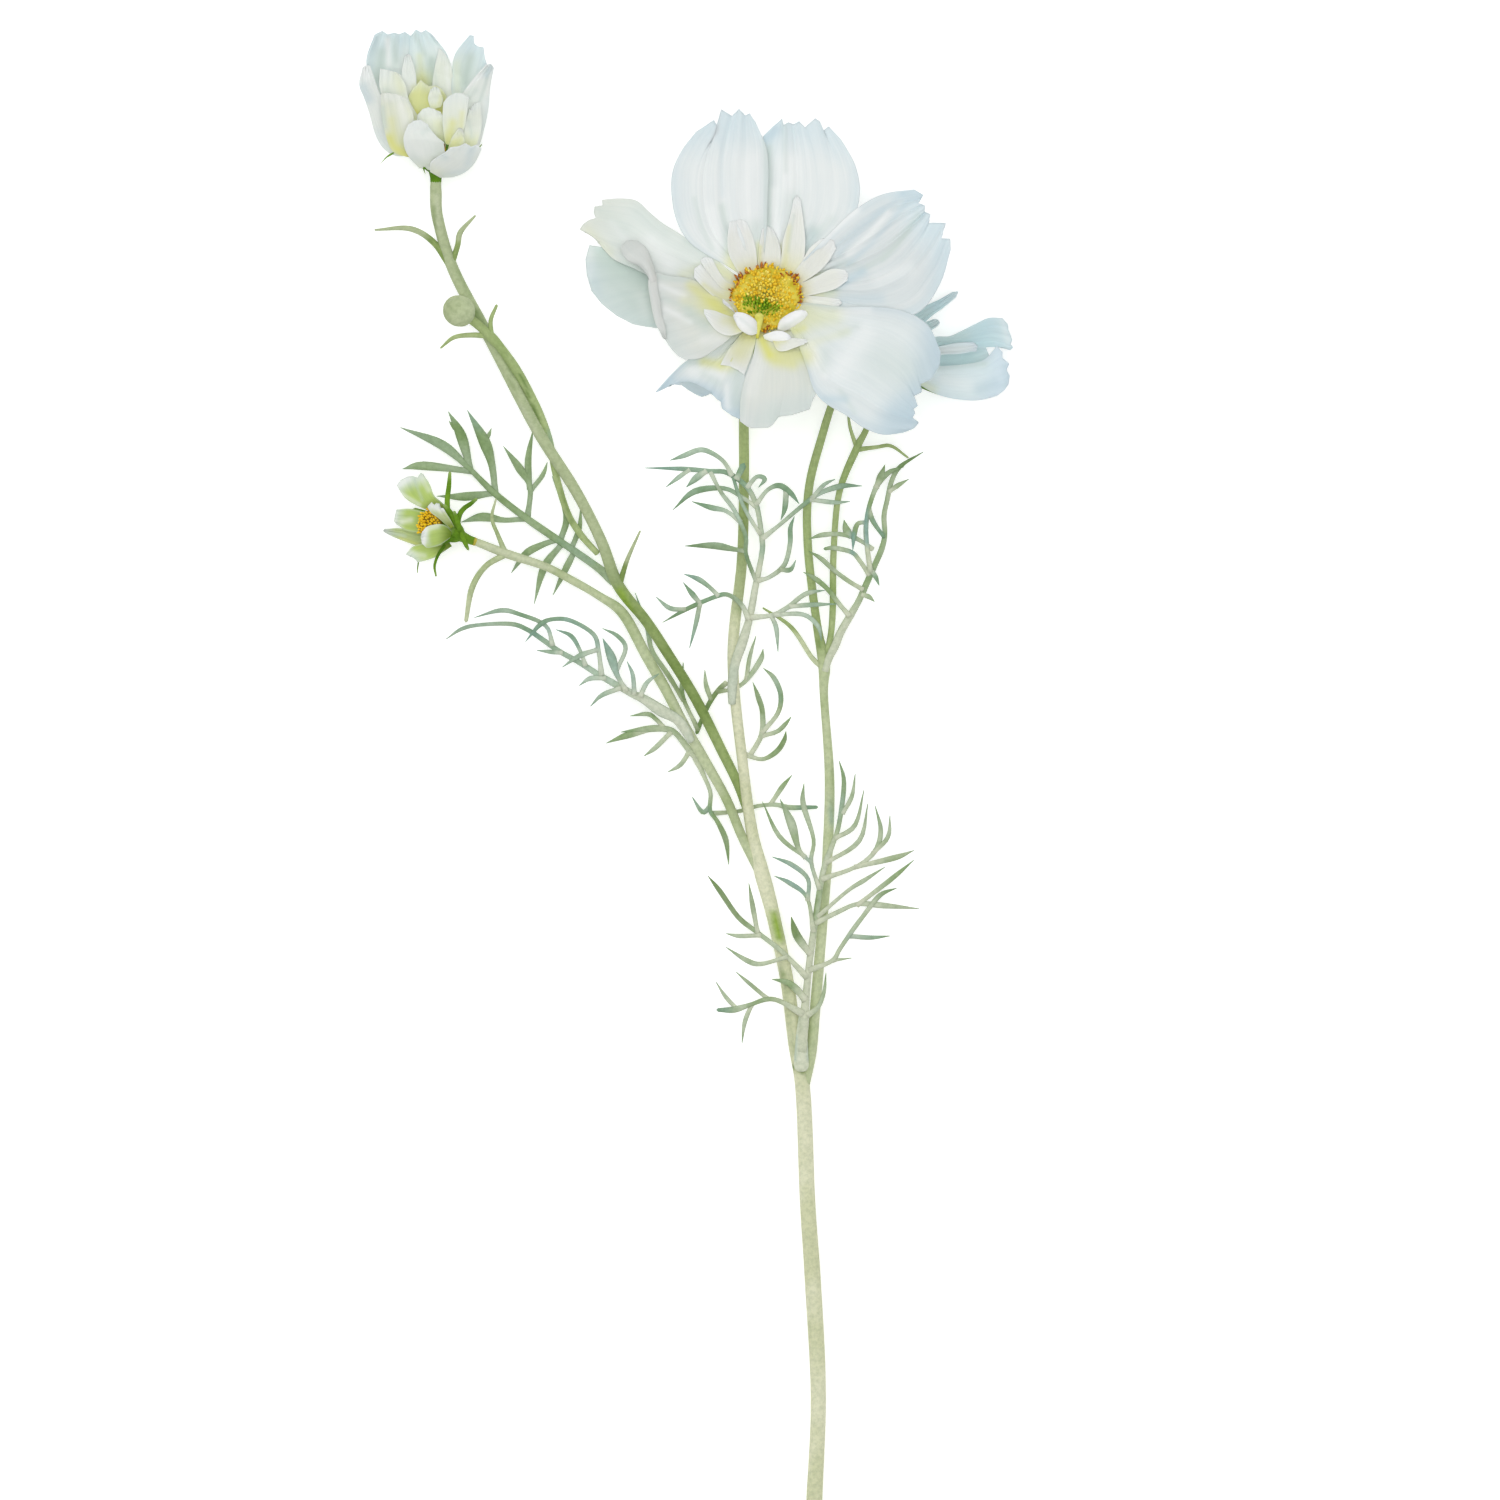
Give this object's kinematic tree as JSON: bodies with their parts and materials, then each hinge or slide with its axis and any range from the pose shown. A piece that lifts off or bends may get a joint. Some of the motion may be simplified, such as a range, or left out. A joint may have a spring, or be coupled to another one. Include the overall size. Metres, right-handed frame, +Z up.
{
  "type": "cosmos flower spray",
  "caption": "Picked spray of white cosmos lying flat: forked stem with an open bloom, half-open blooms, buds and feathery leaves.",
  "frame": {"origin": "on the surface the spray lies on, under the middle of its bounding box", "axes": "+Y from the cut end of the stem towards the blooms, +X to the right seen from above, +Z up from the surface"},
  "size_m": [0.1634, 0.3976, 0.0522],
  "materials": {
    "petal_white": "soft satin, finely veined",
    "petal_cream": "soft satin, finely veined",
    "petal_blue": "soft satin, finely veined",
    "petal_green": "soft satin, finely veined",
    "disc_yellow": "matt, grainy",
    "sepal_green": "matt",
    "bud_green": "matt",
    "leaf_green": "matt, slightly downy",
    "stem_green": "matt, slightly downy"
  },
  "bodies": {
    "root": {"back_calyx": "sepal_green", "back_petal_lower": "petal_blue", "back_petal_middle": "petal_blue", "back_petal_side": "petal_blue", "back_petal_underneath": "petal_blue", "back_petal_upper": "petal_blue", "bud_behind_bloom": "bud_green", "bud_round": "bud_green", "inner_petal_bottom": "petal_cream", "inner_petal_left": "petal_cream", "inner_petal_left_low": "petal_cream", "inner_petal_right": "petal_cream", "inner_petal_top": "petal_cream", "inner_petal_top_left": "petal_cream", "leaf_centre": "leaf_green", "leaf_centre_low": "leaf_green", "leaf_centre_right": "leaf_green", "leaf_fork": "leaf_green", "leaf_left_arch": "leaf_green", "leaf_left_low": "leaf_green", "leaf_right": "leaf_green", "leaf_upper_left": "leaf_green", "open_calyx": "sepal_green", "open_disc": "disc_yellow", "open_petal_bottom": "petal_white", "open_petal_bottom_left": "petal_white", "open_petal_left": "petal_white", "open_petal_left_lower": "petal_white", "open_petal_left_upper": "petal_white", "open_petal_right_lower": "petal_white", "open_petal_right_upper": "petal_white", "open_petal_top_left": "petal_white", "open_petal_top_right": "petal_white", "small_calyx": "sepal_green", "small_disc": "disc_yellow", "small_petal_bottom": "petal_green", "small_petal_front": "petal_green", "small_petal_left": "petal_green", "small_petal_pointed": "petal_green", "small_petal_ruffled": "petal_green", "small_petal_top": "petal_green", "stem_back_bloom": "stem_green", "stem_bud": "stem_green", "stem_main": "stem_green", "stem_right": "stem_green", "stem_small_bloom": "stem_green", "stem_upper_bloom": "stem_green", "upper_calyx": "sepal_green", "upper_inner_petal_centre": "petal_cream", "upper_inner_petal_left": "petal_cream", "upper_inner_petal_right": "petal_cream", "upper_petal_back": "petal_white", "upper_petal_back_left": "petal_white", "upper_petal_back_right": "petal_white", "upper_petal_front": "petal_white", "upper_petal_front_left": "petal_white", "upper_petal_front_right": "petal_white", "upper_petal_left": "petal_white", "upper_petal_right": "petal_white"}
  },
  "joints": []
}
